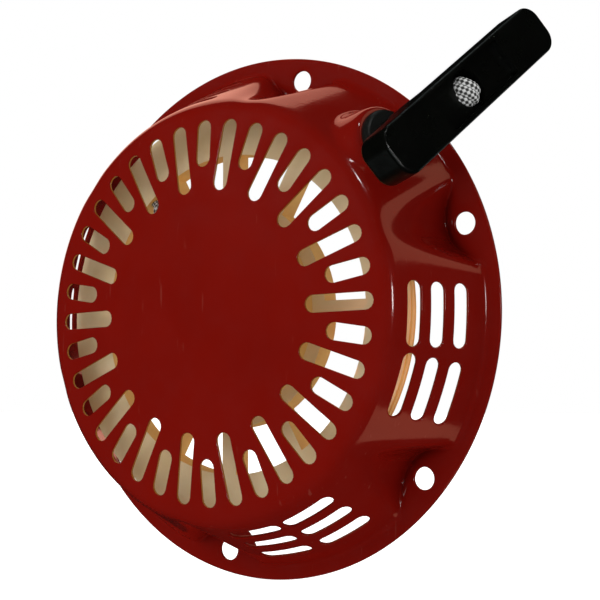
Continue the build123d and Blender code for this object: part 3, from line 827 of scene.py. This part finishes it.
# the wound rope, a flattened spiral, and its end knotted inside the reel's rim
bend_at = EXIT - PULL * BEND_DEPTH
bend_distance = hypot(bend_at[0], bend_at[2])
leave = np.degrees(atan2(bend_at[2], bend_at[0])) + np.degrees(np.arccos(WRAP_R / bend_distance))
sweep = 360 * WINDING_TURNS + KNOT_ANGLE - leave
share = np.linspace(0, 1, 900)
spiral = [radial(leave + sweep * (1 - t)) * (INNER_WRAP_R + (WRAP_R - INNER_WRAP_R) * t) for t in share]
spiral = np.array(spiral) + FRONT * ROPE_HEIGHT
winding = tube("rope_wound", spiral, FLATTENED, 16, "reel", rope_braid, across=(0, 1, 0))
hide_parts("rope_winding")
end_place = radial(KNOT_ANGLE) * (RIM_R - REEL_KNOT_DEPTH) + FRONT * ROPE_HEIGHT
end_path = knot_path(end_place, radial(KNOT_ANGLE), REEL_KNOT_SCALE, INNER_WRAP_R - RIM_R + REEL_KNOT_DEPTH)
end_knot = tube("rope_end_knot", end_path, (REEL_STRAND_R, REEL_STRAND_R), 24, "reel", rope_braid,
                STRAND_RELIEF)
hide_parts("reel_knot")

# the run from the winding, round the bend and into the guide
leave_point = radial(leave) * WRAP_R + FRONT * ROPE_HEIGHT
run_direction = unit(bend_at - leave_point)
bend_start, bend_end = bend_at - run_direction * BEND_REACH, bend_at + PULL * BEND_REACH
straight = leave_point + (bend_start - leave_point) * np.linspace(0, 1, 60)[:, None]
t = np.linspace(0, 1, 30)[1:, None]
curve = bend_start * (1 - t) ** 2 + 2 * t * (1 - t) * bend_at + bend_end * t**2
run_path = np.concatenate([straight, curve])
run = tube("rope_inner_run", run_path, (ROPE_R, ROPE_R), 20, "housing", rope_braid)
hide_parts("rope_run")

# the rope from the guide to the handle's knot; it draws out as the handle is pulled, so it has no one body
knot_low = HANDLE_REACH + KNOT_HEIGHT - KNOT_R
t = np.linspace(LEAD_START - LEAD_OVERLAPS[0], knot_low + LEAD_OVERLAPS[1], 110)[:, None]
lead = tube("rope_to_handle", EXIT + PULL * t, (ROPE_R, ROPE_R), 24, "rope", lead_braid)
lead.parent = None
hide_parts("rope_lead")
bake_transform(lead)

# the knot in the handle: the rope wound into a ball, its strand ending over the washer
knot_centre = HANDLE - BAR * 2.0 - WIDE * 0.3 + PULL * 3.0
t = np.linspace(0, 1, 300)[:, None]
tilt, spin = (0.16 + 0.70 * t) * pi, 2 * pi * HANDLE_KNOT_TURNS * t + 0.8
knot_axis = unit(0.75 * BAR + 0.55 * WIDE + 0.35 * PULL)
knot_side = unit(np.cross(knot_axis, PULL))
sideways = np.cos(spin) * knot_side + np.sin(spin) * np.cross(knot_axis, knot_side)
ball = knot_centre + HANDLE_KNOT_R * (np.cos(tilt) * knot_axis + np.sin(tilt) * sideways)
t = np.linspace(0, 1, 40)[1:, None]
way, goal = HANDLE - PULL * TAIL_WAY, HANDLE - PULL * TAIL_END
tail = ball[-1] * (1 - t) ** 2 + 2 * t * (1 - t) * way + goal * t**2
pull_knot = tube("rope_handle_knot", np.concatenate([ball, tail]), (HANDLE_STRAND_R, HANDLE_STRAND_R), 32,
                 "rope", rope_braid, STRAND_RELIEF)
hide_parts("handle_knot")

# wire springs on the ratchets' posts: two close turns and two straight legs
POST_R, POST_HEIGHT = 24.0, 8.98
COIL_R, WIRE_R, LEG = 4.45, 0.33, 8.6
for letter, turn_over in (("a", 1), ("b", -1)):
    centre = radial(0) * POST_R * turn_over + FRONT * POST_HEIGHT
    angle = np.linspace(-pi / 2, 3.5 * pi, 96)
    climb = np.linspace(-WIRE_R, WIRE_R, len(angle))
    coil = np.stack([COIL_R * np.sin(angle), climb, COIL_R * np.cos(angle)], 1)
    leg = np.array([0, 0, -LEG])
    first = coil[0] + leg * np.linspace(1, 0, 14)[:-1, None]
    final = coil[-1] + leg * np.linspace(0, 1, 14)[1:, None]
    path = np.concatenate([first, coil, final]) * np.array([turn_over, 1, turn_over])
    wire = tube("ratchet_wire_" + letter, centre + path, (WIRE_R, WIRE_R), 12, "reel",
                bright_steel)
    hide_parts("ratchet_spring_" + letter)

# ---------------------------------------------------------------- materials on the CAD pieces
CAD_LOOKS = {
    "handle_grip": black_handle, "rope_ferrule": black_guide, "reel": nylon, "recoil_spring": spring_steel,
    "center_post": bright_steel, "guide_collar": bright_steel, "thrust_washer": bright_steel,
    "bolt_washer": bright_steel, "knot_seat": bright_steel, "ferrule_clip": bright_steel,
    "ratchet_guide": zinc, "center_bolt": zinc, "ratchet_a": dark_steel, "ratchet_b": dark_steel,
    "friction_spring": bright_steel,
}
for name, look in CAD_LOOKS.items():
    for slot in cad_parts[name].material_slots:
        slot.material = look
for name, width in (("handle_grip", 0.35), ("rope_ferrule", 0.2)):
    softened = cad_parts[name].modifiers.new("edges", "BEVEL")
    softened.width, softened.segments, softened.limit_method = width * MM, 3, "ANGLE"
    softened.angle_limit = radians(40)
    softened.harden_normals = True

# ---------------------------------------------------------------- floor, light and camera
floor_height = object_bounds()[0].z
AMBIENT, REFLECTED = 0.72, 0.004
floor_material, tree, bsdf = material("floor", roughness=0.9, specular_ior_level=0.1, emission_strength=0.9)
bsdf.inputs["Base Color"].default_value = (0.93, 0.93, 0.93, 1.0)
bsdf.inputs["Emission Color"].default_value = (1.0, 1.0, 1.0, 1.0)
bpy.ops.mesh.primitive_plane_add(size=12.0, location=(0, 0, floor_height))
floor = bpy.context.object
floor.name = "floor"
floor.data.materials.append(floor_material)
floor.visible_glossy = False
floor.visible_diffuse = False

# the backdrop is white to the camera, pale to diffuse surfaces and dark to reflections
world = bpy.data.worlds.new("studio")
bpy.context.scene.world = world
world.use_nodes = True
world.cycles.sampling_method = "NONE"
tree = world.node_tree
path = tree.nodes.new("ShaderNodeLightPath")


def choose(flag, other, value):
    """A grey level for rays with a flag, and another level or node for the rest."""
    made = tree.nodes.new("ShaderNodeMix")
    tree.links.new(path.outputs[flag], made.inputs[0])
    if isinstance(other, float):
        made.inputs[2].default_value = other
    else:
        tree.links.new(other.outputs[0], made.inputs[2])
    made.inputs[3].default_value = value
    return made


level = choose("Is Camera Ray", choose("Is Glossy Ray", AMBIENT, REFLECTED), 1.0)
tree.links.new(level.outputs[0], tree.nodes["Background"].inputs["Strength"])
tree.nodes["Background"].inputs["Color"].default_value = (1.0, 1.0, 1.0, 1.0)


def light_object(name, data, location):
    """Puts a light somewhere, in metres, unseen by the camera."""
    made = bpy.data.objects.new(name, data)
    bpy.context.collection.objects.link(made)
    made.location = location
    made.rotation_mode = "QUATERNION"
    made.visible_camera = False
    return made


def soft_box(name, towards, distance, size, radiance, colour=(1.0, 1.0, 1.0)):
    """A rectangular light in a direction from the object, this bright in reflections."""
    data = bpy.data.lights.new(name, "AREA")
    data.shape = "RECTANGLE"
    data.size, data.size_y = size
    data.color = colour
    data.energy = radiance * pi * size[0] * size[1]
    made = light_object(name, data, Vector(towards).normalized() * distance)
    made.rotation_quaternion = (-made.location).to_track_quat("-Z", "Y")
    return made


def lit_only(label, objects):
    """A collection of the only objects that a light falls on."""
    made = bpy.data.collections.new(label)
    for thing in objects:
        made.objects.link(thing)
    return made


# one broad light shapes the diffuse shading
soft_box("key", (-0.40, -0.85, 0.40), 1.6, (0.9, 0.7), 3.6).visible_glossy = False
WHITE, WARM, PALE, COOL = (1.0, 1.0, 1.0), (1.0, 0.42, 0.26), (1.0, 0.42, 0.30), (0.85, 1.0, 1.0)
only_cover = lit_only("only_cover", [cover])
# golden light on the reel's cheek behind the side vents, as daylight through thin nylon gives
VENT_GLOW_AT, VENT_GLOW_FROM = Vector((0.088, -0.026, -0.017)), Vector((0.60, -0.80, -0.05))
VENT_GLOW_DISTANCE = 0.6
spot = bpy.data.lights.new("vent_glow", "SPOT")
spot.color, spot.energy, spot.shadow_soft_size = (1.0, 0.26, 0.0), 4.5, 0.01
spot.spot_size, spot.spot_blend = radians(5.5), 0.3
glow = light_object("vent_glow", spot, VENT_GLOW_AT + VENT_GLOW_FROM * VENT_GLOW_DISTANCE)
glow.rotation_quaternion = (-VENT_GLOW_FROM).to_track_quat("-Z", "Y")
glow.visible_glossy = False
glow.light_linking.receiver_collection = lit_only("only_reel", [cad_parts["reel"]])

# panels and strips that are only seen in reflections; the coloured ones fall on the cover alone
for name, towards, distance, size, radiance, colour in (
        ("strip_right", (0.83, -0.56, 0.10), 1.5, (0.10, 0.22), 24.0, WHITE),
        ("spot_above", (0.55, -0.45, 0.95), 1.5, (0.10, 0.10), 26.0, WHITE),
        ("panel_right", (0.78, 0.14, 0.62), 1.4, (0.75, 0.85), 1.0, WARM),
        ("panel_low", (0.66, 0.00, -0.75), 1.4, (0.75, 0.50), 1.1, WARM),
        ("panel_top", (-0.55, 0.60, 0.56), 1.4, (1.5, 1.5), 1.2, PALE)):
    light = soft_box(name, towards, distance, size, radiance, colour)
    light.visible_diffuse = False
    if colour != WHITE:
        light.light_linking.receiver_collection = only_cover

# strips that only the handle sees, where its rounded edges mirror them to the camera
CAMERA = np.array([347.64, -484.48, -36.10])
sight = unit(HANDLE - CAMERA)
HANDLE_NODES = ("handle_grip", "rope_ferrule", "knot_seat")
only_handle = lit_only("only_handle", [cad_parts[name] for name in HANDLE_NODES])
for name, facing, radiance in (("edge_near", PULL - BAR, 3.0), ("edge_far", PULL + BAR, 4.5),
                               ("edge_upper", PULL + WIDE, 1.2), ("edge_lower", PULL - WIDE, 1.0),
                               ("end_near", -BAR, 0.20)):
    normal = unit(facing)
    light = soft_box(name, sight - 2 * (sight @ normal) * normal, 1.4, (0.30, 0.30), radiance, COOL)
    light.visible_diffuse = False
    light.light_linking.receiver_collection = only_handle

# the photo's camera: lens, place and axes
camera_data = bpy.data.cameras.new("camera")
camera_data.sensor_width = 36.0
camera_data.lens = 82.091
camera = bpy.data.objects.new("camera", camera_data)
bpy.context.collection.objects.link(camera)
right = Vector((0.82623, 0.56333, -0.00241))
down = Vector((-0.04295, 0.05873, -0.99735))
ahead = Vector((-0.56170, 0.82414, 0.07271))
turn = Matrix((right, -down, -ahead)).transposed()
camera.matrix_world = Matrix.Translation(Vector(CAMERA) * MM) @ turn.to_4x4()
camera_data.clip_start, camera_data.clip_end = 0.01, 50
bpy.context.scene.camera = camera
bpy.context.scene.view_settings.view_transform = "Standard"
